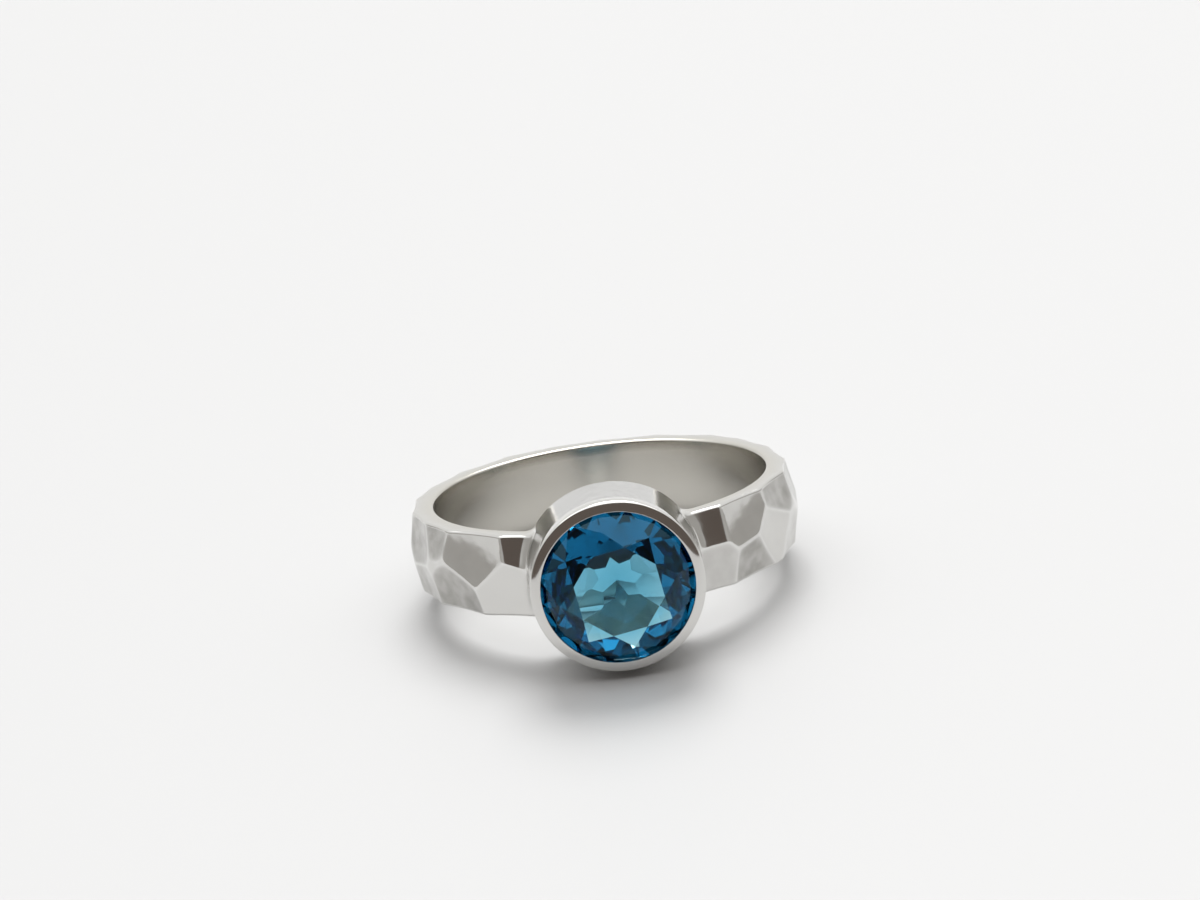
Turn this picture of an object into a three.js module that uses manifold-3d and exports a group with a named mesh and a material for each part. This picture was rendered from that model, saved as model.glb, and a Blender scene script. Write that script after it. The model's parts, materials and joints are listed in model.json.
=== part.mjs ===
// A silver stacking ring: a hammered band with a round blue stone in a tall bezel.
// Millimetres and degrees. The finger goes through along the ring's own Z, and the stone faces its -Y.
// At the end the whole ring is laid on its side as it rests on a table, with its bezel a little raised.

import * as THREE from 'three';
import { mergeVertices } from 'three/addons/utils/BufferGeometryUtils.js';
import Module from 'manifold-3d';

const wasm = await Module();
wasm.setup();

// Band
const fingerRadius = 8.85;
const bandWidth = 4.3;
const crownThickness = 1.5;
const edgeThickness = 1.2;
const edgeBevel = 0.15;
const hammerDepth = 0.55;

// Stone, a round brilliant. Shares are of the stone's radius or of the slope that they divide.
const stoneRadius = 4;
const tableShare = 0.57;
const crownSlope = 34.5;
const starShare = 0.5;
const girdleHeight = 0.3;
const pavilionSlope = 32;
const lowerHalfShare = 0.6;
const culetSlope = 22;
const culetShare = 0.33;
const mainFacets = 8;
const facetTurn = 31;

// Bezel, a straight tube with its rim pressed over the stone
const bezelWall = 0.3;
const stoneClearance = 0.1;
const culetClearance = 1.148;
const lipOverlap = 0.12;
const lipHeight = 0.35;
const lipSlope = 20;
const lipEdge = 0.12;
const seatWidth = 0.6;
const solderRadius = 0.8;

// How finely round surfaces are divided
const bandSides = 120;
const bezelSides = 64;
const arcSteps = 6;

// Sizes that follow from the ones above
const crownRadius = fingerRadius + crownThickness;
const edgeRadius = fingerRadius + edgeThickness;
const hammeredRadius = crownRadius - hammerDepth / 2;
const halfWidth = bandWidth / 2;
const bezelRadius = stoneRadius + stoneClearance + bezelWall;
const pavilionDepth = stoneRadius * tan(pavilionSlope);
const girdleBottom = fingerRadius + culetClearance + pavilionDepth;
const girdleTop = girdleBottom + girdleHeight;
const lipCrest = girdleTop + lipHeight;
const bezelRoot = fingerRadius - crownThickness;
const farAway = 4 * (lipCrest + stoneRadius);

// Hammer marks that show beside the bezel, from its right side to its left. Turn is the angle round the
// band from the bezel, height a share of the half width, lean the mark's tilt towards the upper side,
// swing its twist away from the radius, and bite a share of the hammer depth.
const marksBesideBezel = [
  { turn: 30, height: 0.6, lean: 13, swing: -2, bite: 0.69 },
  { turn: 32, height: -0.45, lean: -9, swing: -5, bite: 0.59 },
  { turn: 45, height: 0.45, lean: 13, swing: 1, bite: 0.74 },
  { turn: 48, height: -0.6, lean: -12, swing: 1, bite: 0.76 },
  { turn: 57, height: -0.12, lean: -3, swing: 3, bite: 0.59 },
  { turn: 65, height: 0.5, lean: 14, swing: -2, bite: 0.64 },
  { turn: 73, height: -0.6, lean: -12, swing: -1, bite: 0.62 },
  { turn: 83, height: 0.5, lean: 14, swing: 0, bite: 0.47 },
  { turn: 89, height: -0.5, lean: -11, swing: 0, bite: 0.5 },
  { turn: -94, height: 0.5, lean: 12, swing: 0, bite: 0.42 },
  { turn: -91, height: -0.5, lean: -9, swing: 0, bite: 0.42 },
  { turn: -76, height: 0.3, lean: 10, swing: 0, bite: 0.47 },
  { turn: -74, height: -0.6, lean: -12, swing: 1, bite: 0.6 },
  { turn: -62, height: 0.8, lean: 15, swing: -2, bite: 0.67 },
  { turn: -56, height: -0.6, lean: -13, swing: 2, bite: 0.79 },
  { turn: -44, height: 0.42, lean: 12, swing: -1, bite: 0.79 },
  { turn: -35, height: -0.4, lean: -8, swing: 4, bite: 0.67 },
  { turn: -29, height: 0.7, lean: 15, swing: 3, bite: 0.63 },
];

// Hammer marks round the back come in two staggered rows that meet the ones above.
const backRows = [
  { first: 98, last: 252, count: 10, height: 0.5, lean: 9 },
  { first: 105, last: 256, count: 10, height: -0.5, lean: -9 },
];
const backBite = 0.66;
const backBiteChange = 0.1;
const backLeanChange = 2.5;
const backTurnChange = 2.5;
const backHeightChange = 0.12;
const backChangePerMark = 100;

function sin(degrees) {
  return Math.sin(THREE.MathUtils.degToRad(degrees));
}

function cos(degrees) {
  return Math.cos(THREE.MathUtils.degToRad(degrees));
}

function tan(degrees) {
  return Math.tan(THREE.MathUtils.degToRad(degrees));
}

// A closed geometry as a solid: vertices merged by place, no flat triangles, faces pointing out.
function solidOf(geometry) {
  const plain = geometry.clone();
  plain.deleteAttribute('normal');
  plain.deleteAttribute('uv');
  const merged = mergeVertices(plain, 1e-5);
  const corners = merged.attributes.position.array;
  const faces = [];
  let volume = 0;
  const a = new THREE.Vector3();
  const b = new THREE.Vector3();
  const c = new THREE.Vector3();
  for (let i = 0; i < merged.index.count; i += 3) {
    const face = [0, 1, 2].map((k) => merged.index.getX(i + k));
    if (new Set(face).size < 3) continue;
    faces.push(face);
    [a, b, c].forEach((corner, k) => corner.fromArray(corners, 3 * face[k]));
    volume += a.dot(b.cross(c));
  }
  if (volume < 0) faces.forEach((face) => face.reverse());
  const mesh = new wasm.Mesh({
    numProp: 3,
    vertProperties: new Float32Array(corners),
    triVerts: new Uint32Array(faces.flat()),
  });
  return new wasm.Manifold(mesh);
}

function geometryOf(solid) {
  const mesh = solid.getMesh();
  const geometry = new THREE.BufferGeometry();
  geometry.setAttribute('position', new THREE.BufferAttribute(mesh.vertProperties, 3));
  geometry.setIndex(new THREE.BufferAttribute(mesh.triVerts, 1));
  geometry.computeVertexNormals();
  return geometry;
}

// A turned solid from a closed outline of [radius, reach] pairs. Its axis is Y, and reach counts
// towards the stone, along -Y.
function turnedTowardsStone(outline) {
  const points = outline.map(([radius, reach]) => new THREE.Vector2(radius, -reach));
  return solidOf(new THREE.LatheGeometry([...points, points[0]], bezelSides));
}

// A turned solid round the finger, from a closed outline of [radius, height] pairs.
function turnedRoundFinger(outline) {
  const points = outline.map(([radius, height]) => new THREE.Vector2(radius, height));
  const geometry = new THREE.LatheGeometry([...points, points[0]], bandSides);
  return solidOf(geometry.rotateX(Math.PI / 2));
}

// Takes away all that lies beyond a plane, as a lap or a flat hammer face does.
function flatten(solid, normal, distance) {
  const block = new THREE.BoxGeometry(farAway, farAway, farAway);
  block.translate(0, 0, distance + farAway / 2);
  const turn = new THREE.Quaternion().setFromUnitVectors(new THREE.Vector3(0, 0, 1), normal);
  block.applyQuaternion(turn);
  return solid.subtract(solidOf(block));
}

// The band before hammering: a low crown outside, a straight wall inside, bevelled at all four edges.
function bandBlank() {
  const rise = crownRadius - edgeRadius;
  const outline = [
    [fingerRadius, halfWidth - edgeBevel],
    [fingerRadius, -halfWidth + edgeBevel],
    [fingerRadius + edgeBevel, -halfWidth],
    [edgeRadius - edgeBevel, -halfWidth],
  ];
  for (let step = 0; step <= arcSteps; step += 1) {
    const share = (2 * step) / arcSteps - 1;
    outline.push([crownRadius - rise * share * share, share * (halfWidth - edgeBevel)]);
  }
  outline.push([edgeRadius - edgeBevel, halfWidth]);
  outline.push([fingerRadius + edgeBevel, halfWidth]);
  return turnedRoundFinger(outline);
}

// The marks round the back, a little uneven in place, lean and depth as hand work is.
function marksRoundBack() {
  return backRows.flatMap((row) =>
    Array.from({ length: row.count }, (_, k) => {
      const turn = row.first + ((row.last - row.first) * k) / (row.count - 1);
      const change = sin(backChangePerMark * (k + row.height));
      const drift = cos(backChangePerMark * (k - row.height));
      return {
        turn: turn + backTurnChange * drift,
        height: row.height + backHeightChange * change,
        lean: row.lean + backLeanChange * change,
        swing: 0,
        bite: backBite + backBiteChange * change,
      };
    })
  );
}

function hammer(solid, mark) {
  const centre = new THREE.Vector3(sin(mark.turn), -cos(mark.turn), 0);
  centre.multiplyScalar(crownRadius - mark.bite * hammerDepth);
  centre.z = mark.height * halfWidth;
  const facing = mark.turn + mark.swing;
  const normal = new THREE.Vector3(
    sin(facing) * cos(mark.lean),
    -cos(facing) * cos(mark.lean),
    sin(mark.lean)
  );
  return flatten(solid, normal, centre.dot(normal));
}

// The outside of the bezel: a straight wall, a small round edge, and a rim that slopes up to its crest.
function bezelBody() {
  const openingRadius = stoneRadius - lipOverlap;
  const crestRadius = openingRadius + lipEdge / 2;
  const shoulder = lipCrest - (bezelRadius - lipEdge - crestRadius) * tan(lipSlope);
  const outline = [
    [0, bezelRoot],
    [bezelRadius, bezelRoot],
  ];
  for (let step = 0; step <= arcSteps / 2; step += 1) {
    const angle = (step * (90 - lipSlope)) / (arcSteps / 2);
    outline.push([
      bezelRadius - lipEdge * (1 - cos(angle)),
      shoulder - lipEdge * (1 - sin(angle)),
    ]);
  }
  outline.push([crestRadius, lipCrest]);
  outline.push([0, lipCrest]);
  return turnedTowardsStone(outline);
}

// The space inside the bezel: the mouth, the room for the stone, its seat, and the open back.
function bezelRoom() {
  const openingRadius = stoneRadius - lipOverlap;
  const roomRadius = stoneRadius + stoneClearance;
  const backRadius = roomRadius - seatWidth;
  const underLip = girdleTop + lipOverlap * tan(crownSlope) + stoneClearance;
  const seatSlope = tan(pavilionSlope) * 1.03;
  const seatDrop = stoneClearance * Math.hypot(1, seatSlope);
  const seatAt = (radius) => girdleBottom - (stoneRadius - radius) * seatSlope - seatDrop;
  return turnedTowardsStone([
    [0, 0],
    [backRadius, 0],
    [backRadius, seatAt(backRadius)],
    [roomRadius, seatAt(roomRadius)],
    [roomRadius, girdleTop + stoneClearance],
    [openingRadius, underLip],
    [openingRadius, lipCrest - lipEdge / 2],
    [openingRadius + lipEdge, lipCrest + lipEdge / 2],
    [openingRadius + lipEdge, lipCrest + lipHeight],
    [0, lipCrest + lipHeight],
  ]);
}

// The solder between the band and the bezel: a hollow curve from the wall down to the band, of its width.
function solderCollar() {
  const slope = THREE.MathUtils.radToDeg(Math.asin((bezelRadius + solderRadius / 2) / hammeredRadius));
  const footRadius = bezelRadius + solderRadius * (1 - sin(slope));
  const foot = Math.sqrt(hammeredRadius ** 2 - footRadius ** 2);
  const centre = foot + solderRadius * cos(slope);
  const outline = [
    [bezelRadius - bezelWall, bezelRoot],
    [footRadius, bezelRoot],
  ];
  for (let step = 0; step <= arcSteps; step += 1) {
    const angle = ((90 - slope) * (arcSteps - step)) / arcSteps;
    outline.push([
      bezelRadius + solderRadius * (1 - cos(angle)),
      centre - solderRadius * sin(angle),
    ]);
  }
  outline.push([bezelRadius - bezelWall, centre]);
  const slab = new THREE.BoxGeometry(farAway, farAway, bandWidth - 2 * edgeBevel);
  return turnedTowardsStone(outline).intersect(solidOf(slab));
}

function bandAndBezel() {
  let band = bandBlank();
  for (const mark of [...marksBesideBezel, ...marksRoundBack()]) {
    band = hammer(band, mark);
  }
  const fingerHole = turnedRoundFinger([
    [0, -bezelRadius - bandWidth],
    [fingerRadius, -bezelRadius - bandWidth],
    [fingerRadius, bezelRadius + bandWidth],
    [0, bezelRadius + bandWidth],
  ]);
  return band.add(solderCollar()).add(bezelBody()).subtract(bezelRoom()).subtract(fingerHole);
}

// The stone as a lapidary cuts it: a turned blank with a flat table, then rings of flats at set slopes.
function brilliantStone() {
  const pitch = 360 / mainFacets;
  const tableRadius = tableShare * stoneRadius;
  const crownHeight = (stoneRadius - tableRadius) * tan(crownSlope);
  const tableEdge = tableRadius * cos(pitch / 2);
  const starTip = tableEdge + starShare * (stoneRadius - tableEdge);
  const starTipHeight = (stoneRadius - starTip * cos(pitch / 2)) * tan(crownSlope);
  const lowerTip = stoneRadius * (1 - lowerHalfShare);
  const lowerTipDepth = (stoneRadius - lowerTip * cos(pitch / 2)) * tan(pavilionSlope);
  const culetTip = culetShare * stoneRadius;
  const culetTipDepth = (stoneRadius - culetTip * cos(pitch / 2)) * tan(pavilionSlope);
  const starRise = (crownHeight - starTipHeight) / (starTip - tableEdge);
  const upperRise = starTipHeight / ((stoneRadius - starTip) * cos(pitch / 4));
  const lowerRise = lowerTipDepth / ((stoneRadius - lowerTip) * cos(pitch / 4));

  // Each ring of flats: its side of the girdle, its rise per radius, and a radius and height that it meets.
  const halfTurn = stoneRadius * cos(pitch / 4);
  const all = mainFacets;
  const twice = 2 * mainFacets;
  const rings = [
    { side: 1, rise: tan(crownSlope), count: all, offset: 0, radius: stoneRadius, height: 0 },
    { side: 1, rise: starRise, count: all, offset: 0.5, radius: tableEdge, height: crownHeight },
    { side: 1, rise: upperRise, count: twice, offset: 0.5, radius: halfTurn, height: 0 },
    { side: -1, rise: tan(pavilionSlope), count: all, offset: 0, radius: stoneRadius, height: 0 },
    { side: -1, rise: lowerRise, count: twice, offset: 0.5, radius: halfTurn, height: 0 },
    { side: -1, rise: tan(culetSlope), count: all, offset: 0.5, radius: culetTip, height: culetTipDepth },
  ];
  const tableReach = girdleTop + crownHeight;
  let stone = turnedTowardsStone([
    [0, fingerRadius],
    [stoneRadius, fingerRadius],
    [stoneRadius, tableReach],
    [0, tableReach],
  ]);
  for (const ring of rings) {
    const base = ring.side > 0 ? girdleTop : girdleBottom;
    for (let k = 0; k < ring.count; k += 1) {
      const around = facetTurn + ((k + ring.offset) * 360) / ring.count;
      const normal = new THREE.Vector3(ring.rise * cos(around), -ring.side, ring.rise * sin(around));
      normal.normalize();
      const point = new THREE.Vector3(
        ring.radius * cos(around),
        -(base + ring.side * ring.height),
        ring.radius * sin(around)
      );
      stone = flatten(stone, normal, point.dot(normal));
    }
  }
  return stone;
}

function named(name, solid, material) {
  const mesh = new THREE.Mesh(geometryOf(solid), material);
  mesh.name = name;
  return mesh;
}

// How far the bezel rises as the ring lies on its side: the turn at which front and back touch the table.
function restingTilt(meshes) {
  const lowest = (tilt, side) => {
    let low = Infinity;
    for (const { geometry } of meshes) {
      const place = geometry.attributes.position;
      for (let i = 0; i < place.count; i += 1) {
        if (side * place.getY(i) > 0) {
          low = Math.min(low, place.getZ(i) * cos(tilt) - place.getY(i) * sin(tilt));
        }
      }
    }
    return low;
  };
  let low = -45;
  let high = 45;
  while (high - low > 1e-6) {
    const middle = (low + high) / 2;
    if (lowest(middle, -1) > lowest(middle, 1)) high = middle;
    else low = middle;
  }
  return low;
}

const silver = new THREE.MeshStandardMaterial({ color: 0xdddbd6, metalness: 1, roughness: 0.12 });
const blueStone = new THREE.MeshStandardMaterial({ color: 0x1583b5, metalness: 0, roughness: 0.03 });

const ring = new THREE.Group();
ring.add(named('band_and_bezel', bandAndBezel(), silver));
ring.add(named('stone', brilliantStone(), blueStone));
ring.rotation.x = -THREE.MathUtils.degToRad(restingTilt(ring.children));

// The origin is on the table, under the middle of the resting ring.
const reach = new THREE.Box3().setFromObject(ring, true);
ring.position.set(-(reach.min.x + reach.max.x) / 2, -(reach.min.y + reach.max.y) / 2, -reach.min.z);

const stackableRing = new THREE.Group();
stackableRing.add(ring);

export default stackableRing;
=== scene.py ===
"""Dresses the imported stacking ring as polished, hammered silver round a clear blue stone, on a pale floor.

Lengths are metres and angles are radians. The ring is first shaped in its own frame, with the finger's way
through along Z and the stone facing -Y, and is then laid on its side as it rests.
"""

import json
import math

import bmesh
import bpy
import numpy as np
from bpy.props import FloatProperty, FloatVectorProperty, IntProperty, PointerProperty
from bpy.types import Operator, Panel, PropertyGroup
from mathutils import Matrix, Vector


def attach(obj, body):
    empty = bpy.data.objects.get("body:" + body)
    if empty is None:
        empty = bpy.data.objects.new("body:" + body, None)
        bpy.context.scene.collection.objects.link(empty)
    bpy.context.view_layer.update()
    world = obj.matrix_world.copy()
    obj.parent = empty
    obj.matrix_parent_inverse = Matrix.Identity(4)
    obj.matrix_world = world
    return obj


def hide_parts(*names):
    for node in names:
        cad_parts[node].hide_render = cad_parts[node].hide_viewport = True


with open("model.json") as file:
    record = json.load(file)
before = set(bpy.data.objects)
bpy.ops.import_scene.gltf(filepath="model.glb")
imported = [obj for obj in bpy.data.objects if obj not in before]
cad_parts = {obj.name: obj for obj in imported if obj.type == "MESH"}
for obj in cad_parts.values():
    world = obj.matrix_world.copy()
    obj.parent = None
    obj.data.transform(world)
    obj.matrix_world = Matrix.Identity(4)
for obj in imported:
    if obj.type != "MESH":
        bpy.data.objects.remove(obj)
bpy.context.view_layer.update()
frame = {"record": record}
STACKING_FACE = frame["record"]["mounts"][0]["axis"]

bl_info = {
    "name": "Stackable Ring",
    "version": (1, 0, 0),
    "blender": (4, 5, 0),
    "location": "3D View > Sidebar > Ring",
    "description": "Hammered silver stacking ring with a bezel-set round blue stone",
    "category": "Object",
}

MM = 0.001

# Hammer marks beside the bezel, right side first. Turn, lean and swing are degrees: the angle round the band
# from the bezel, the tilt towards the upper side and the twist away from the radius. Height is a share of
# half the band's width, and bite a share of the hammer depth. The last column is painted shade: how much
# darker the mark's face is painted, standing in for the darker surroundings that it mirrors, and how much
# more matt it is.
MARK_COLUMNS = ("turn", "height", "lean", "swing", "bite", "painted_shade")
MARKS_BESIDE_BEZEL = (
    (30, 0.6, 13, -2, 0.69, 0.2),
    (32, -0.45, -9, -5, 0.59, 0.4),
    (45, 0.45, 13, 1, 0.74, 0.2),
    (48, -0.6, -12, 1, 0.76, 1),
    (57, -0.12, -3, 3, 0.59, 0.1),
    (65, 0.5, 14, -2, 0.64, 0.9),
    (73, -0.6, -12, -1, 0.62, 0.5),
    (83, 0.5, 14, 0, 0.47, 0.8),
    (89, -0.5, -11, 0, 0.5, 0.3),
    (-94, 0.5, 12, 0, 0.42, 0.5),
    (-91, -0.5, -9, 0, 0.42, 0.6),
    (-76, 0.3, 10, 0, 0.47, 1),
    (-74, -0.6, -12, 1, 0.6, 0.9),
    (-62, 0.8, 15, -2, 0.67, 0.9),
    (-56, -0.6, -13, 2, 0.79, 0.9),
    (-44, 0.42, 12, -1, 0.79, 0.2),
    (-35, -0.4, -8, 4, 0.67, 0),
    (-29, 0.7, 15, 3, 0.63, 0.2),
)

# Two staggered rows of marks go on round the back: first and last turn, count, height and lean.
BACK_ROWS = (
    (98, 252, 10, 0.5, 9),
    (105, 256, 10, -0.5, -9),
)
BACK_BITE = 0.66
BACK_BITE_CHANGE = 0.1
BACK_LEAN_CHANGE = 2.5
BACK_TURN_CHANGE = 2.5
BACK_HEIGHT_CHANGE = 0.12
BACK_CHANGE_PER_MARK = 100
# Painted shade on the marks round the back, and how much it changes from mark to mark
BACK_PAINTED_SHADE = 0.5
BACK_PAINTED_SHADE_CHANGE = 0.3

# A mark's face is read no further round the band than this, in degrees.
MARK_REACH = 50

# How finely the band's section is divided: across its outside, round its edges and down its inside.
OUTSIDE_ROWS = 58
EDGE_STEPS = 7
SIDE_SHARES = (0.75, 0.5, 0.25)
INSIDE_ROWS = 9

# How many sections follow each other round the band and up the solder, and where the search for the
# place that the band meets the bezel begins, in degrees.
BAND_STATIONS = 760
SOLDER_STEPS = 15
MEETING_TURN = 27
MEETING_ROUNDS = 8

# How finely the bezel and the stone's blank are divided
RIM_STEPS = 9
BEZEL_STEPS = 288
BLANK_SIDES = 192

# The stone's cuts are made to the first of these, and corners closer than the second are one. Metres.
CUT_TOLERANCE = 1e-9
MERGE_DISTANCE = 1e-6

# The seat is this much steeper than the pavilion, so that the stone touches near its girdle.
SEAT_STEEPER = 1.03

# The camera's own directions in the ring's frame
CAMERA_RIGHT = (0.9907, -0.0522, -0.1260)
CAMERA_FORWARD = (0.0214, 0.9719, -0.2344)

# Camera sensor in millimetres, and the nearest and farthest that it sees in metres
SENSOR_WIDTH = 36
NEAREST = 0.01
FARTHEST = 10

# Silver finish. Scales are noise features in a metre, and the noise ranges are where each effect starts
# and is full. Dents are soft and broad, and lines are fine and run round the band.
PATCH_SCALE = 1100
PATCH_DETAIL = 2
PATCH_NOISE = (0.3, 0.7)
PATCH_LEAST = 0.5
DENT_SCALE = 900
DENT_DETAIL = 1
DENT_DEPTH = 0.06 * MM
DENT_STRENGTH = (0.015, 0.35)
LINE_SCALE = 6000
LINE_DETAIL = 3
LINE_STRETCH = (0.25, 0.25, 1.6)
LINE_DEPTH = 0.01 * MM
LINE_STRENGTH = 0.008

# How the roughness wavers about the polish, and what satin inside and full painted shade add to it
POLISH_NOISE = (0.3, 0.75)
POLISH_CHANGE = (0.85, 1.2)
SATIN_INSIDE = 0.13
MATT_WHERE_SHADE_PAINTED = 0.14

# Light of the room by height, from 0 straight down to 1 straight up
ROOM_LIGHT = (
    (0.5, (0.27, 0.262, 0.25)),
    (0.6, (0.28, 0.275, 0.265)),
    (0.7, (0.5, 0.5, 0.495)),
    (0.85, (0.6, 0.6, 0.6)),
    (0.87, (1, 1, 1)),
)
ROOM_STRENGTH = 1.65

# Light back wall and dark patch in front. Each pair says how far along an axis of the unit sphere its soft
# edge starts and ends.
BACK_WALL_COLOR = (0.53, 0.528, 0.52)
BACK_WALL_FROM = (0.55, 0.8)
BACK_WALL_TOP = (0.7, 0.5)
DARK_PATCH_COLOR = (0.08, 0.066, 0.058)
DARK_PATCH_FROM = (-0.4, -0.46)
DARK_PATCH_TOP = (0.8, 0.77)
DARK_PATCH_SIDE = (0.9, 0.86)

# Middle of the large soft lamp, above and behind the ring, the cosines that bound its edge, and how much
# brighter than the room it is
TOWARDS_LAMP = (0.1, 0.62, 0.78)
LAMP_EDGE = (0.94, 0.97)
LAMP_STRENGTH = 10


class RingBandSettings(PropertyGroup):
    """Sizes of the hammered silver band."""

    finger_radius: FloatProperty(
        name="Finger Radius", description="Radius of the finger hole", default=8.85 * MM, unit="LENGTH"
    )
    width: FloatProperty(
        name="Width", description="Width of the band along the finger", default=4.3 * MM, unit="LENGTH"
    )
    crown_thickness: FloatProperty(
        name="Crown Thickness",
        description="Thickness at mid width before hammering",
        default=1.5 * MM,
        unit="LENGTH",
    )
    edge_thickness: FloatProperty(
        name="Edge Thickness",
        description="Thickness at the flat sides before hammering",
        default=1.2 * MM,
        unit="LENGTH",
    )
    hammer_depth: FloatProperty(
        name="Hammer Depth", description="Depth of a full hammer mark", default=0.55 * MM, unit="LENGTH"
    )
    hammer_dish: FloatProperty(
        name="Hammer Dish",
        description="Radius of the slight hollow that a mark's face has",
        default=14 * MM,
        unit="LENGTH",
    )
    dish_reach: FloatProperty(
        name="Dish Reach",
        description="How far from a mark's middle its hollow meets the flat face",
        default=1.4 * MM,
        unit="LENGTH",
    )
    ridge_softness: FloatProperty(
        name="Ridge Softness",
        description="How far two marks blend where they meet",
        default=0.035 * MM,
        unit="LENGTH",
    )
    outer_round: FloatProperty(
        name="Outer Round", description="Radius of the outer edges", default=0.15 * MM, unit="LENGTH"
    )
    inner_round: FloatProperty(
        name="Inner Round", description="Radius of the finger hole's edges", default=0.14 * MM, unit="LENGTH"
    )
    solder_width: FloatProperty(
        name="Solder Width",
        description="How far the solder runs from the bezel over the band",
        default=0.42 * MM,
        unit="LENGTH",
    )
    solder_height: FloatProperty(
        name="Solder Height",
        description="How far the solder climbs the bezel's wall",
        default=0.3 * MM,
        unit="LENGTH",
    )


class RingBezelSettings(PropertyGroup):
    """Sizes of the silver tube that holds the stone."""

    radius: FloatProperty(
        name="Radius", description="Outer radius of the tube", default=4.4 * MM, unit="LENGTH"
    )
    opening_radius: FloatProperty(
        name="Opening Radius", description="Radius inside the rim", default=3.88 * MM, unit="LENGTH"
    )
    room_radius: FloatProperty(
        name="Room Radius", description="Radius of the room round the stone", default=4.1 * MM, unit="LENGTH"
    )
    back_radius: FloatProperty(
        name="Back Radius", description="Radius of the open back", default=3.5 * MM, unit="LENGTH"
    )
    rim_height: FloatProperty(
        name="Rim Height",
        description="Height of the rim above the stone's girdle",
        default=0.35 * MM,
        unit="LENGTH",
    )
    rim_slope: FloatProperty(
        name="Rim Slope",
        description="Slope of the rim's face at its outer edge",
        default=math.radians(30),
        subtype="ANGLE",
    )
    rim_inner_slope: FloatProperty(
        name="Rim Inner Slope",
        description="Slope of the rim's face beside the stone",
        default=math.radians(6),
        subtype="ANGLE",
    )
    rim_round: FloatProperty(
        name="Rim Round", description="Radius of the rim's outer edge", default=0.13 * MM, unit="LENGTH"
    )
    rim_inner_round: FloatProperty(
        name="Rim Inner Round",
        description="Radius of the rim's edge beside the stone",
        default=0.025 * MM,
        unit="LENGTH",
    )

class RingSilverSettings(PropertyGroup):
    """Colours and polish of the silver."""

    wall_color: FloatVectorProperty(
        name="Silver Colour",
        description="Colour of the polished silver",
        default=(0.72, 0.712, 0.69),
        size=3,
        subtype="COLOR",
    )
    inside_color: FloatVectorProperty(
        name="Inside Colour",
        description="Colour of the satin silver inside the finger hole",
        default=(0.64, 0.62, 0.57),
        size=3,
        subtype="COLOR",
    )
    # Painted shade: colour of the hammer marks with full painted shade, standing in for darker surroundings
    # that they mirror
    painted_shade_color: FloatVectorProperty(
        name="Dull Colour",
        description="Colour of the silver in the dullest hammer marks",
        default=(0.36, 0.352, 0.33),
        size=3,
        subtype="COLOR",
    )
    # Painted highlight along the ridges between the marks, partly burnish from wear
    ridge_highlight_color: FloatVectorProperty(
        name="Ridge Colour",
        description="Colour of the silver where wear has burnished the ridges",
        default=(0.82, 0.815, 0.8),
        size=3,
        subtype="COLOR",
    )
    polish: FloatProperty(
        name="Polish", description="Roughness of the polished silver", default=0.085, min=0, max=1
    )


class RingStoneSettings(PropertyGroup):
    """Cut and colour of the round brilliant."""

    radius: FloatProperty(
        name="Radius", description="Radius of the stone's girdle", default=4 * MM, unit="LENGTH"
    )
    table_share: FloatProperty(
        name="Table", description="Radius of the table as a share of the stone's", default=0.57
    )
    crown_slope: FloatProperty(
        name="Crown Slope",
        description="Slope of the crown's main facets",
        default=math.radians(34.5),
        subtype="ANGLE",
    )
    star_share: FloatProperty(
        name="Star Length", description="How far the star facets reach from table to girdle", default=0.5
    )
    girdle_height: FloatProperty(
        name="Girdle Height", description="Height of the girdle", default=0.3 * MM, unit="LENGTH"
    )
    pavilion_slope: FloatProperty(
        name="Pavilion Slope",
        description="Slope of the pavilion's main facets",
        default=math.radians(32),
        subtype="ANGLE",
    )
    culet_slope: FloatProperty(
        name="Culet Slope",
        description="Slope of the small facets round the culet",
        default=math.radians(22),
        subtype="ANGLE",
    )
    culet_share: FloatProperty(
        name="Culet Facet Reach",
        description="How far out the small facets round the culet reach, as a share of the stone's radius",
        default=0.33,
    )
    lower_share: FloatProperty(
        name="Lower Half Length", description="How far the lower halves reach to the culet", default=0.6
    )
    culet_clearance: FloatProperty(
        name="Culet Clearance",
        description="Gap between the culet and the finger hole",
        default=1.148 * MM,
        unit="LENGTH",
    )
    main_facets: IntProperty(name="Main Facets", description="Main facets round the stone", default=8)
    turn: FloatProperty(
        name="Turn", description="Turn of the facets in the bezel", default=math.radians(31), subtype="ANGLE"
    )
    color: FloatVectorProperty(
        name="Stone Colour",
        description="Colour that light takes on its way through the stone",
        default=(0.12, 0.67, 0.81),
        size=3,
        subtype="COLOR",
    )
    density: FloatProperty(
        name="Colour Density", description="How fast the colour deepens, per metre of stone", default=680
    )
    ior: FloatProperty(name="Refraction", description="Index of refraction of the stone", default=1.62)
    glint_color: FloatVectorProperty(
        name="Glint Colour",
        description="Colour of what the stone's surface mirrors",
        default=(0.35, 0.65, 0.8),
        size=3,
        subtype="COLOR",
    )


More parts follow.
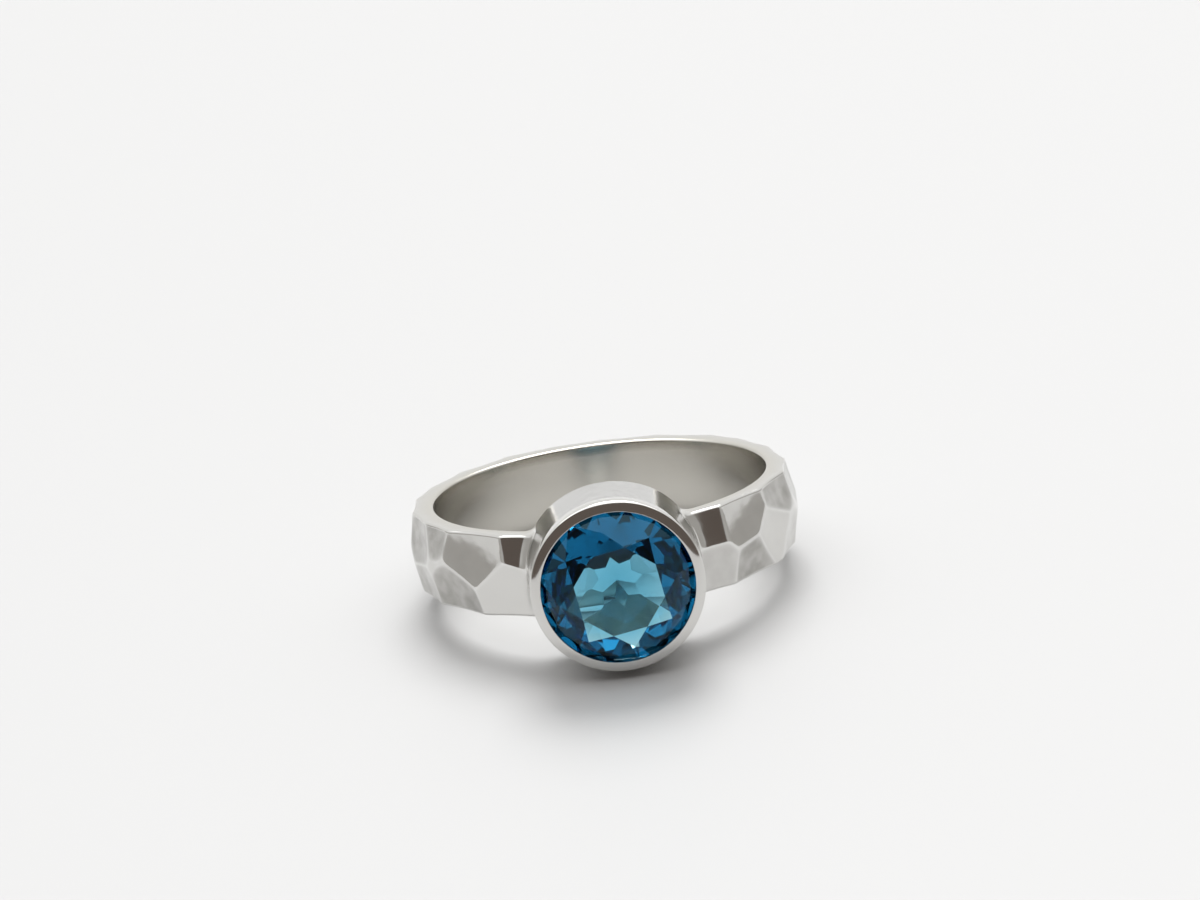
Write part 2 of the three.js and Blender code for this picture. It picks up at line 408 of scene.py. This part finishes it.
class RingStageSettings(PropertyGroup):
    """Where the ring lies, the floor, the light and the camera."""

    centre: FloatVectorProperty(
        name="Centre",
        description="Middle of the finger hole as the ring rests",
        default=(0.0013 * MM, 1.9996 * MM, 3.3128 * MM),
        size=3,
        subtype="TRANSLATION",
    )
    camera_place: FloatVectorProperty(
        name="Camera Place",
        description="Place of the camera in the ring's own frame",
        default=(-4.023 * MM, -195.091 * MM, 50.984 * MM),
        size=3,
        subtype="TRANSLATION",
    )
    lens: FloatProperty(name="Lens", description="Focal length in millimetres", default=113.98)
    floor_size: FloatProperty(name="Floor Size", description="Side of the floor", default=3, unit="LENGTH")
    floor_color: FloatVectorProperty(
        name="Floor Colour",
        description="Colour of the floor",
        default=(0.51, 0.51, 0.51),
        size=3,
        subtype="COLOR",
    )
    floor_roughness: FloatProperty(
        name="Floor Roughness", description="Roughness of the floor", default=0.5, min=0, max=1
    )
    floor_gloss: FloatProperty(
        name="Floor Gloss", description="How much the floor mirrors", default=0.2, min=0, max=1
    )


# Places that all the pieces share


def lean_of_ring():
    """Angle between the ring's own Z and the room's, from the direction that the stacking face looks."""
    return math.atan2(STACKING_FACE[1], STACKING_FACE[2])


def resting_place(stage):
    """Matrix from the ring's own frame to the frame of the table that it rests on."""
    return Matrix.Translation(Vector(stage.centre)) @ Matrix.Rotation(-lean_of_ring(), 4, "X")


def girdle_reach(stone, band):
    """Distance of the girdle's lower edge from the finger's axis."""
    pavilion_depth = stone.radius * math.tan(stone.pavilion_slope)
    return band.finger_radius + stone.culet_clearance + pavilion_depth


def mesh_object(name, corners, faces, place, finish):
    """New object from corners in the ring's own frame, with named values at each of them.

    Its four-sided faces are smooth, and a face of more sides closes a hidden end and is flat.
    """
    mesh = bpy.data.meshes.new(name)
    mesh.from_pydata(corners.tolist(), [], faces)
    mesh.transform(place)
    mesh.polygons.foreach_set("use_smooth", [len(face) == 4 for face in faces])
    for key, values in finish.items():
        mesh.attributes.new(key, "FLOAT", "POINT").data.foreach_set("value", values)
    mesh.validate()
    piece = bpy.data.objects.new(name, mesh)
    bpy.context.scene.collection.objects.link(piece)
    return piece


def grid_quads(rows, columns, close_rows=False):
    """Faces of a grid whose columns close into a loop, and whose rows may."""
    row = np.arange(rows if close_rows else rows - 1)
    column = np.arange(columns)
    a, b = np.meshgrid(row, column, indexing="ij")
    next_row = (a + 1) % rows
    next_column = (b + 1) % columns
    faces = np.stack(
        (
            next_row * columns + b,
            next_row * columns + next_column,
            a * columns + next_column,
            a * columns + b,
        ),
        axis=-1,
    )
    return faces.reshape(-1, 4)


# Hammered band


def hammer_marks():
    """All the marks round the band as columns of numbers."""
    rows = [dict(zip(MARK_COLUMNS, row)) for row in MARKS_BESIDE_BEZEL]
    for first, last, count, height, lean in BACK_ROWS:
        for k in range(count):
            change = math.sin(math.radians(BACK_CHANGE_PER_MARK * (k + height)))
            drift = math.cos(math.radians(BACK_CHANGE_PER_MARK * (k - height)))
            rows.append(
                {
                    "turn": first + (last - first) * k / (count - 1) + BACK_TURN_CHANGE * drift,
                    "height": height + BACK_HEIGHT_CHANGE * change,
                    "lean": lean + BACK_LEAN_CHANGE * change,
                    "swing": 0,
                    "bite": BACK_BITE + BACK_BITE_CHANGE * change,
                    "painted_shade": BACK_PAINTED_SHADE + BACK_PAINTED_SHADE_CHANGE * change,
                }
            )
    return rows


def hammered_reach(band, turn, height):
    """Distance of the hammered outside from the finger's axis, nearness to a ridge and the painted shade
    there.
    """
    half_width = band.width / 2
    crown = band.finger_radius + band.crown_thickness
    rise = band.crown_thickness - band.edge_thickness
    painted_shades = [0]
    reaches = [crown - rise * (height / (half_width - band.outer_round)) ** 2]
    for mark in hammer_marks():
        facing = math.radians(mark["turn"] + mark["swing"])
        lean = math.radians(mark["lean"])
        middle_turn = math.radians(mark["turn"])
        middle_height = mark["height"] * half_width
        middle_reach = crown - mark["bite"] * band.hammer_depth
        distance = middle_reach * math.cos(lean) * math.cos(middle_turn - facing)
        distance += middle_height * math.sin(lean)
        away = np.cos(turn - facing)
        near = away > math.cos(math.radians(MARK_REACH))
        flat = (distance - height * math.sin(lean)) / (math.cos(lean) * np.where(near, away, 1))
        across = 2 * middle_reach * np.sin((turn - middle_turn) / 2)
        dish = across**2 + (height - middle_height) ** 2 - band.dish_reach**2
        dish /= 2 * band.hammer_dish
        reaches.append(np.where(near, flat + dish, crown * 2))
        painted_shades.append(mark["painted_shade"])
    reaches = np.array(reaches)
    least = reaches.min(axis=0)
    weights = np.exp(-(reaches - least) / band.ridge_softness)
    blend = weights.sum(axis=0)
    # Painted shade of each mark, blended between marks like their reach
    painted_shade = np.array(painted_shades) @ weights / blend
    return least - band.ridge_softness * np.log(blend), np.minimum(np.log2(blend), 1), painted_shade


def band_section(band):
    """Loop of points round the band's section, counter-clockwise from the lower outer edge.

    Each has the height where the outside is read, the share of the outside's reach, the share of the finger
    hole's radius, what is added to both in reach, its height, and how far solder may push it out or sideways.
    """
    half = band.width / 2
    outer = band.outer_round
    inner = band.inner_round
    outer_top = half - outer
    rows = []
    for height in np.linspace(-outer_top, outer_top, OUTSIDE_ROWS):
        rows.append((height, 1, 0, 0, height, 1, 0))
    quarter = np.radians(np.linspace(0, 90, EDGE_STEPS))
    for angle in quarter[1:]:
        out, up = math.cos(angle), math.sin(angle)
        rows.append((outer_top, 1, 0, -outer * (1 - out), outer_top + outer * up, out, up))
    for share in SIDE_SHARES:
        rows.append((outer_top, share, 1 - share, (1 - share) * inner - share * outer, half, 0, 1))
    for angle in quarter:
        back, up = math.sin(angle), math.cos(angle)
        rows.append((outer_top, 0, 1, inner * (1 - back), half - inner * (1 - up), 0, up))
    upper = rows[OUTSIDE_ROWS:]
    for height in np.linspace(half - inner, inner - half, INSIDE_ROWS)[1:-1]:
        rows.append((outer_top, 0, 1, 0, height, 0, 0))
    for read, share, rest, added, height, out, up in reversed(upper):
        rows.append((-read, share, rest, added, -height, out, -up))
    return np.array(rows).T


def build_band(band, bezel):
    """Corners, faces and finish of the band, which ends, closed, on the bezel's wall on both sides."""
    read, share, rest, added, height, push_out, push_side = band_section(band)
    face = np.where(push_out == 1, 1, 0)
    rise = np.radians(np.linspace(0, 90, SOLDER_STEPS))
    away = band.solder_width * (1 - np.cos(rise))
    up = band.solder_height * (1 - np.sin(rise))

    def section_at(turn, solder):
        outside, ridge, painted_shade = hammered_reach(band, turn, read)
        reach = share * outside + rest * band.finger_radius + added
        return reach + push_out * solder, height + push_side * solder, ridge * face, painted_shade * face

    def end_turns(side, distance, solder):
        turn = np.full(len(read), side * math.radians(MEETING_TURN))
        for _ in range(MEETING_ROUNDS):
            reach, tall, _, _ = section_at(turn, solder)
            across = np.sqrt(np.maximum((bezel.radius + distance) ** 2 - tall**2, 0))
            turn = side * np.arcsin(across / reach)
        return turn

    climb = list(zip(away, up))
    right_end = end_turns(1, away[-1], 0)
    left_end = end_turns(-1, away[-1], 0) + 2 * math.pi
    between = np.linspace(0, 1, BAND_STATIONS)[1:-1]
    stations = [(end_turns(1, distance, solder), solder) for distance, solder in climb]
    stations += [(right_end + (left_end - right_end) * share_round, 0) for share_round in between]
    stations += [(end_turns(-1, distance, solder) + 2 * math.pi, solder) for distance, solder in climb[::-1]]
    corners = []
    ridges = []
    painted_shades = []
    for turn, solder in stations:
        reach, tall, ridge, painted_shade = section_at(turn, solder)
        corners.append(np.stack((reach * np.sin(turn), -reach * np.cos(turn), tall), axis=-1))
        ridges.append(ridge)
        painted_shades.append(painted_shade)
    faces = grid_quads(len(stations), len(read)).tolist()
    last = len(read) * (len(stations) - 1)
    faces.append(list(range(len(read))))
    faces.append(list(range(last, last + len(read)))[::-1])
    # The finish carries the painted shade of the marks and their nearness to a ridge
    finish = {
        "hammered": np.tile(share, len(stations)),
        "inside": np.tile(rest, len(stations)),
        "ridge": np.concatenate(ridges),
        "painted_shade": np.concatenate(painted_shades),
    }
    return np.concatenate(corners), faces, finish


# Bezel


def bezel_section(bezel, stone, band):
    """Loop of (radius, reach, joins the finger hole) round the tube's wall, from its foot over the rim."""
    girdle = girdle_reach(stone, band)
    girdle_top = girdle + stone.girdle_height
    crest = girdle_top + bezel.rim_height
    rim_width = bezel.radius - bezel.opening_radius
    outer_slope, inner_slope = bezel.rim_slope, bezel.rim_inner_slope
    upright = math.pi / 2

    # The rim is three arcs that run into each other: the outer edge, the sloping face and the inner edge.
    face_width = rim_width - bezel.rim_round * (1 - math.sin(outer_slope))
    face_width -= bezel.rim_inner_round * (1 + math.sin(inner_slope))
    face_arc = face_width / (math.sin(outer_slope) - math.sin(inner_slope))
    arcs = (
        (bezel.rim_round, upright, outer_slope),
        (face_arc, outer_slope, inner_slope),
        (bezel.rim_inner_round, inner_slope, -upright),
    )
    drop_to_edge = sum(arc * (math.cos(last) - math.cos(first)) for arc, first, last in arcs)
    radius = bezel.radius
    reach = crest - drop_to_edge - bezel.rim_inner_round
    points = [(radius, 0, 1), (radius, reach - bezel.rim_round, 0), (radius, reach, 0)]
    for arc, first, last in arcs:
        slopes = np.linspace(first, last, RIM_STEPS)
        for before, after in zip(slopes, slopes[1:]):
            radius += arc * (math.sin(after) - math.sin(before))
            reach += arc * (math.cos(after) - math.cos(before))
            points.append((radius, reach, 0))

    # Under the rim come the room for the stone, its seat, and the open back down to the finger hole.
    gap = bezel.room_radius - stone.radius
    overlap = stone.radius - bezel.opening_radius
    under_rim = girdle_top + gap + overlap * math.tan(stone.crown_slope)
    points.append((bezel.opening_radius, under_rim, 0))
    points.append((bezel.room_radius, girdle_top + gap, 0))
    seat_slope = math.tan(stone.pavilion_slope) * SEAT_STEEPER
    seat_drop = gap * math.hypot(1, seat_slope)
    for radius in (bezel.room_radius, bezel.back_radius):
        points.append((radius, girdle - (stone.radius - radius) * seat_slope - seat_drop, 0))
    points.append((bezel.back_radius, 0, 1))
    return np.array(points).T


def build_bezel(bezel, stone, band):
    """Corners and faces of the tube, whose foot follows the finger hole."""
    radius, reach, at_hole = bezel_section(bezel, stone, band)
    corners = []
    for around in np.linspace(0, 2 * math.pi, BEZEL_STEPS, endpoint=False):
        x = radius * math.cos(around)
        hole = np.sqrt(band.finger_radius**2 - np.minimum(np.abs(x), band.finger_radius) ** 2)
        y = -np.where(at_hole > 0, hole, reach)
        corners.append(np.stack((x, y, radius * math.sin(around)), axis=-1))
    return np.concatenate(corners), grid_quads(BEZEL_STEPS, len(radius), close_rows=True)


# Stone


def brilliant_planes(stone, girdle, girdle_top):
    """(point, outward direction) of every facet but the table, in the ring's own frame."""
    pitch = 2 * math.pi / stone.main_facets
    crown_rise = math.tan(stone.crown_slope)
    pavilion_rise = math.tan(stone.pavilion_slope)
    table_radius = stone.table_share * stone.radius
    crown_height = (stone.radius - table_radius) * crown_rise
    table_edge = table_radius * math.cos(pitch / 2)
    star_tip = table_edge + stone.star_share * (stone.radius - table_edge)
    star_tip_height = (stone.radius - star_tip * math.cos(pitch / 2)) * crown_rise
    culet_tip = stone.culet_share * stone.radius
    culet_tip_depth = (stone.radius - culet_tip * math.cos(pitch / 2)) * pavilion_rise
    lower_tip = stone.radius * (1 - stone.lower_share)
    lower_tip_depth = (stone.radius - lower_tip * math.cos(pitch / 2)) * pavilion_rise
    star_rise = (crown_height - star_tip_height) / (star_tip - table_edge)
    upper_rise = star_tip_height / ((stone.radius - star_tip) * math.cos(pitch / 4))
    lower_rise = lower_tip_depth / ((stone.radius - lower_tip) * math.cos(pitch / 4))
    half_turn = stone.radius * math.cos(pitch / 4)
    culet_rise = math.tan(stone.culet_slope)

    # Rings of facets: side of the girdle, rise per radius, how many for each main facet, turn as a share of
    # a facet, and the radius and height at which the facet's middle lies.
    rings = (
        (1, crown_rise, 1, 0, stone.radius, 0),
        (1, star_rise, 1, 0.5, table_edge, crown_height),
        (1, upper_rise, 2, 0.5, half_turn, 0),
        (-1, pavilion_rise, 1, 0, stone.radius, 0),
        (-1, lower_rise, 2, 0.5, half_turn, 0),
        (-1, culet_rise, 1, 0.5, culet_tip, culet_tip_depth),
    )
    planes = []
    for side, rise, each, offset, radius, height in rings:
        base = girdle_top if side > 0 else girdle
        count = each * stone.main_facets
        for k in range(count):
            around = stone.turn + (k + offset) * 2 * math.pi / count
            out = Vector((math.cos(around), 0, math.sin(around)))
            point = out * radius + Vector((0, -(base + side * height), 0))
            planes.append((point, (out * rise + Vector((0, -side, 0))).normalized()))
    return planes, girdle_top + crown_height


def cut_stone(stone, band, place):
    """A turned blank cut flat along every facet plane, as a lapidary does it."""
    girdle = girdle_reach(stone, band)
    planes, table_reach = brilliant_planes(stone, girdle, girdle + stone.girdle_height)
    blank = bmesh.new()
    length = table_reach - band.finger_radius
    middle = Matrix.Translation((0, -(band.finger_radius + length / 2), 0))
    bmesh.ops.create_cone(
        blank,
        cap_ends=True,
        segments=BLANK_SIDES,
        radius1=stone.radius,
        radius2=stone.radius,
        depth=length,
        matrix=middle @ Matrix.Rotation(math.pi / 2, 4, "X"),
    )
    for point, direction in planes:
        parts = blank.verts[:] + blank.edges[:] + blank.faces[:]
        cut = bmesh.ops.bisect_plane(
            blank, geom=parts, plane_co=point, plane_no=direction, clear_outer=True, dist=CUT_TOLERANCE
        )
        rim = [part for part in cut["geom_cut"] if isinstance(part, bmesh.types.BMEdge)]
        if rim:
            bmesh.ops.contextual_create(blank, geom=rim)
    bmesh.ops.remove_doubles(blank, verts=blank.verts, dist=MERGE_DISTANCE)
    bmesh.ops.recalc_face_normals(blank, faces=blank.faces)
    mesh = bpy.data.meshes.new("stone_brilliant")
    blank.to_mesh(mesh)
    blank.free()
    mesh.transform(place)
    piece = bpy.data.objects.new("stone_brilliant", mesh)
    bpy.context.scene.collection.objects.link(piece)
    return piece


# Finishes


def add_node(tree, kind, output, inputs, **options):
    """Output of a new node. Each of its inputs is a constant or the output of another node."""
    node = tree.nodes.new(kind)
    for name, value in options.items():
        setattr(node, name, value)
    for name, value in inputs.items():
        if isinstance(value, bpy.types.NodeSocket):
            tree.links.new(value, node.inputs[name])
        else:
            node.inputs[name].default_value = value
    return node.outputs[output] if output else None


def mixed_colors(tree, first, second, share):
    """The first colour, with a share of the second in it."""
    inputs = {"Factor": share, "A": first, "B": second}
    return add_node(tree, "ShaderNodeMix", "Result", inputs, data_type="RGBA")


def spread(tree, value, start, end, low=0, high=1, curve="LINEAR"):
    """Runs from low to high while the value runs from start to end."""
    inputs = {"Value": value, "From Min": start, "From Max": end, "To Min": low, "To Max": high}
    return add_node(tree, "ShaderNodeMapRange", "Result", inputs, interpolation_type=curve)


def product(tree, first, second):
    """The first value times the second."""
    return add_node(tree, "ShaderNodeMath", "Value", {0: first, 1: second}, operation="MULTIPLY")


def product_plus(tree, first, second, rest):
    """The first value times the second, plus the rest."""
    inputs = {0: first, 1: second, 2: rest}
    return add_node(tree, "ShaderNodeMath", "Value", inputs, operation="MULTIPLY_ADD")


def new_material(name):
    """Material with an empty node tree."""
    material = bpy.data.materials.new(name)
    material.use_nodes = True
    material.node_tree.nodes.clear()
    return material, material.node_tree


def polished_silver(settings):
    """Silver with a hand polish: faint wheel lines and soft dents over a bright mirror."""
    material, tree = new_material("polished_silver")
    place = add_node(tree, "ShaderNodeTexCoord", "Object", {})

    def mesh_value(name):
        return add_node(tree, "ShaderNodeAttribute", "Fac", {}, attribute_name=name)

    def noise(vector, scale, detail):
        inputs = {"Vector": vector, "Scale": scale, "Detail": detail}
        return add_node(tree, "ShaderNodeTexNoise", "Fac", inputs)

    # Colour: the walls, painted shade on the faces of the marks, and a painted highlight along the ridges
    # between them, partly burnish from wear
    inside = mesh_value("inside")
    patchy = spread(tree, noise(place, PATCH_SCALE, PATCH_DETAIL), *PATCH_NOISE, PATCH_LEAST, 1)
    # Painted shade darkens the marks' faces
    painted_shade_share = product(tree, mesh_value("painted_shade"), patchy)
    # Painted highlight along the ridges, partly burnish from wear
    ridge_highlight = product(tree, mesh_value("ridge"), patchy)
    color = mixed_colors(tree, (*settings.wall_color, 1), (*settings.inside_color, 1), inside)
    color = mixed_colors(tree, color, (*settings.painted_shade_color, 1), painted_shade_share)
    color = mixed_colors(tree, color, (*settings.ridge_highlight_color, 1), ridge_highlight)

    # Relief: soft dents where the band is hammered, and fine lines that the polishing wheel left
    dents = noise(place, DENT_SCALE, DENT_DETAIL)
    strength = spread(tree, mesh_value("hammered"), 0, 1, *DENT_STRENGTH)
    hollows = {"Strength": strength, "Distance": DENT_DEPTH, "Height": dents}
    relief = add_node(tree, "ShaderNodeBump", "Normal", hollows)
    stretched = add_node(tree, "ShaderNodeMapping", "Vector", {"Vector": place, "Scale": LINE_STRETCH})
    lines = noise(stretched, LINE_SCALE, LINE_DETAIL)
    scratches = {"Strength": LINE_STRENGTH, "Distance": LINE_DEPTH, "Height": lines, "Normal": relief}
    relief = add_node(tree, "ShaderNodeBump", "Normal", scratches)

    # Roughness: the polish wavers a little, the inside is satin and the faces with painted shade are matt
    least, most = (settings.polish * change for change in POLISH_CHANGE)
    roughness = spread(tree, lines, *POLISH_NOISE, least, most)
    roughness = product_plus(tree, inside, SATIN_INSIDE, roughness)
    roughness = product_plus(tree, painted_shade_share, MATT_WHERE_SHADE_PAINTED, roughness)

    inputs = {"Metallic": 1, "Base Color": color, "Roughness": roughness, "Normal": relief}
    shader = add_node(tree, "ShaderNodeBsdfPrincipled", "BSDF", inputs)
    add_node(tree, "ShaderNodeOutputMaterial", None, {"Surface": shader})
    return material


def clear_blue(settings):
    """Clear stone that takes its blue from the length of the light's way through it."""
    material, tree = new_material("clear_blue_stone")
    surface = {
        "Base Color": (1, 1, 1, 1),
        "Roughness": 0,
        "IOR": settings.ior,
        "Transmission Weight": 1,
        "Specular Tint": (*settings.glint_color, 1),
    }
    depth = {"Color": (*settings.color, 1), "Density": settings.density}
    shader = add_node(tree, "ShaderNodeBsdfPrincipled", "BSDF", surface)
    volume = add_node(tree, "ShaderNodeVolumeAbsorption", "Volume", depth)
    add_node(tree, "ShaderNodeOutputMaterial", None, {"Surface": shader, "Volume": volume})
    return material


def pale_floor(settings):
    """Plain pale table top with a slight gloss."""
    material, tree = new_material("pale_floor")
    surface = {
        "Base Color": (*settings.floor_color, 1),
        "Roughness": settings.floor_roughness,
        "Specular IOR Level": settings.floor_gloss,
    }
    shader = add_node(tree, "ShaderNodeBsdfPrincipled", "BSDF", surface)
    add_node(tree, "ShaderNodeOutputMaterial", None, {"Surface": shader})
    return material


def studio_light():
    """Bright room: lit from above, light walls, and a dark patch in front where the camera stands."""
    world = bpy.data.worlds.new("studio")
    bpy.context.scene.world = world
    world.use_nodes = True
    tree = world.node_tree
    tree.nodes.clear()
    towards = add_node(tree, "ShaderNodeTexCoord", "Generated", {})

    def along(axis):
        return add_node(tree, "ShaderNodeSeparateXYZ", axis, {"Vector": towards})

    def edge(value, limits):
        return spread(tree, value, *limits, curve="SMOOTHSTEP")

    lowest, *between, highest = ROOM_LIGHT
    color = add_node(tree, "ShaderNodeValToRGB", "Color", {"Fac": spread(tree, along("Z"), -1, 1)})
    stops = color.node.color_ramp.elements
    stops[0].position, stops[1].position = lowest[0], highest[0]
    for position, _ in between:
        stops.new(position)
    for stop, (_, shade) in zip(stops, ROOM_LIGHT):
        stop.color = (*shade, 1)

    wall = product(tree, edge(along("Y"), BACK_WALL_FROM), edge(along("Z"), BACK_WALL_TOP))
    color = mixed_colors(tree, color, (*BACK_WALL_COLOR, 1), wall)
    sideways = add_node(tree, "ShaderNodeMath", "Value", {0: along("X")}, operation="ABSOLUTE")
    patch = product(tree, edge(along("Y"), DARK_PATCH_FROM), edge(along("Z"), DARK_PATCH_TOP))
    patch = product(tree, patch, edge(sideways, DARK_PATCH_SIDE))
    color = mixed_colors(tree, color, (*DARK_PATCH_COLOR, 1), patch)

    lamp = Vector(TOWARDS_LAMP).normalized()
    facing = add_node(tree, "ShaderNodeVectorMath", "Value", {0: towards, 1: lamp}, operation="DOT_PRODUCT")
    strength = product_plus(tree, edge(facing, LAMP_EDGE), LAMP_STRENGTH, ROOM_STRENGTH)
    light = add_node(tree, "ShaderNodeBackground", "Background", {"Color": color, "Strength": strength})
    add_node(tree, "ShaderNodeOutputWorld", None, {"Surface": light})


class RING_OT_add_silver(Operator):
    """Make the hammered band and the bezel of one silver"""

    bl_idname = "ring.add_silver"
    bl_label = "Add Silver Band and Bezel"

    def execute(self, context):
        scene = context.scene
        place = resting_place(scene.ring_stage)
        band_corners, faces, finish = build_band(scene.ring_band, scene.ring_bezel)
        bezel_corners, bezel_quads = build_bezel(scene.ring_bezel, scene.ring_stone, scene.ring_band)
        corners = np.concatenate((band_corners, bezel_corners))
        faces += (bezel_quads + len(band_corners)).tolist()
        plain = np.zeros(len(bezel_corners))
        finish = {key: np.concatenate((values, plain)) for key, values in finish.items()}
        silver = mesh_object("silver_band_and_bezel", corners, faces, place, finish)
        silver.data.materials.append(polished_silver(scene.ring_silver))
        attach(silver, "root")
        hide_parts("band_and_bezel")
        return {"FINISHED"}


class RING_OT_add_stone(Operator):
    """Cut the round blue brilliant and set it in the bezel"""

    bl_idname = "ring.add_stone"
    bl_label = "Add Blue Stone"

    def execute(self, context):
        scene = context.scene
        stone = cut_stone(scene.ring_stone, scene.ring_band, resting_place(scene.ring_stage))
        stone.data.materials.append(clear_blue(scene.ring_stone))
        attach(stone, "root")
        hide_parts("stone")
        return {"FINISHED"}


class RING_OT_add_stage(Operator):
    """Lay the floor, light the room and place the camera"""

    bl_idname = "ring.add_stage"
    bl_label = "Add Floor, Light and Camera"

    def execute(self, context):
        scene = context.scene
        settings = scene.ring_stage
        bpy.ops.mesh.primitive_plane_add(size=settings.floor_size)
        floor = context.active_object
        floor.name = "floor"
        floor.data.materials.append(pale_floor(settings))
        studio_light()

        camera_data = bpy.data.cameras.new("camera")
        camera_data.lens = settings.lens
        camera_data.sensor_width = SENSOR_WIDTH
        camera_data.clip_start = NEAREST
        camera_data.clip_end = FARTHEST
        camera = bpy.data.objects.new("camera", camera_data)
        scene.collection.objects.link(camera)
        back = -Vector(CAMERA_FORWARD).normalized()
        up = back.cross(Vector(CAMERA_RIGHT)).normalized()
        right = up.cross(back)
        own = Matrix.Translation(Vector(settings.camera_place))
        own = own @ Matrix((right, up, back)).transposed().to_4x4()
        camera.matrix_world = resting_place(settings) @ own
        scene.camera = camera
        scene.view_settings.view_transform = "Standard"
        return {"FINISHED"}


class RING_PT_panel(Panel):
    """Lists the pieces of the ring"""

    bl_idname = "RING_PT_panel"
    bl_label = "Stackable Ring"
    bl_space_type = "VIEW_3D"
    bl_region_type = "UI"
    bl_category = "Ring"

    def draw(self, context):
        layout = self.layout
        for operator in (RING_OT_add_silver, RING_OT_add_stone, RING_OT_add_stage):
            layout.operator(operator.bl_idname)
        for key, kind in SETTINGS.items():
            for name in kind.__annotations__:
                layout.prop(getattr(context.scene, key), name)


SETTINGS = {
    "ring_band": RingBandSettings,
    "ring_bezel": RingBezelSettings,
    "ring_silver": RingSilverSettings,
    "ring_stone": RingStoneSettings,
    "ring_stage": RingStageSettings,
}
CLASSES = (*SETTINGS.values(), RING_OT_add_silver, RING_OT_add_stone, RING_OT_add_stage, RING_PT_panel)


def register():
    for item in CLASSES:
        bpy.utils.register_class(item)
    for name, group in SETTINGS.items():
        setattr(bpy.types.Scene, name, PointerProperty(type=group))


def unregister():
    for name in SETTINGS:
        delattr(bpy.types.Scene, name)
    for item in reversed(CLASSES):
        bpy.utils.unregister_class(item)


def main():
    """Make the whole ring and its stage."""
    register()
    bpy.ops.ring.add_silver()
    bpy.ops.ring.add_stone()
    bpy.ops.ring.add_stage()
    bpy.context.view_layer.update()


if __name__ == "__main__":
    main()
